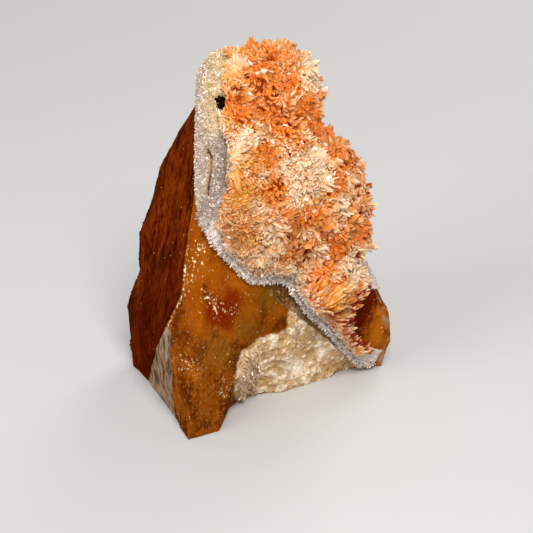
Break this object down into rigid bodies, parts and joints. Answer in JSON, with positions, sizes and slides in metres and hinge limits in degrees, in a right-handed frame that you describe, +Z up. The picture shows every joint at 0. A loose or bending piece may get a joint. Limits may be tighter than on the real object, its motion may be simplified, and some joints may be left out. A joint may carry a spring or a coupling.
{
  "type": "aragonite crystal crust on calcite matrix",
  "caption": "Broken wedge of banded honey calcite with a pale drusy seam and a crust of radiating peach-orange aragonite blades; stands on its flat cut base as a display specimen.",
  "frame": {"origin": "centre of the bounding box on the flat underside", "axes": "+Z up, -Y towards the crystal-bearing front, +X to the front's right"},
  "size_m": [0.0924, 0.0854, 0.1281],
  "materials": {
    "honey_calcite": "glassy broken stone, honey-orange in front, red-brown and striated on the left",
    "pale_druse": "sparkling grey-white to lilac druse",
    "aragonite": "translucent peach-orange blades with white tips"
  },
  "bodies": {
    "root": {"matrix_stone": "honey_calcite", "drusy_seam": "pale_druse", "crystal_crust": "aragonite"}
  },
  "joints": []
}
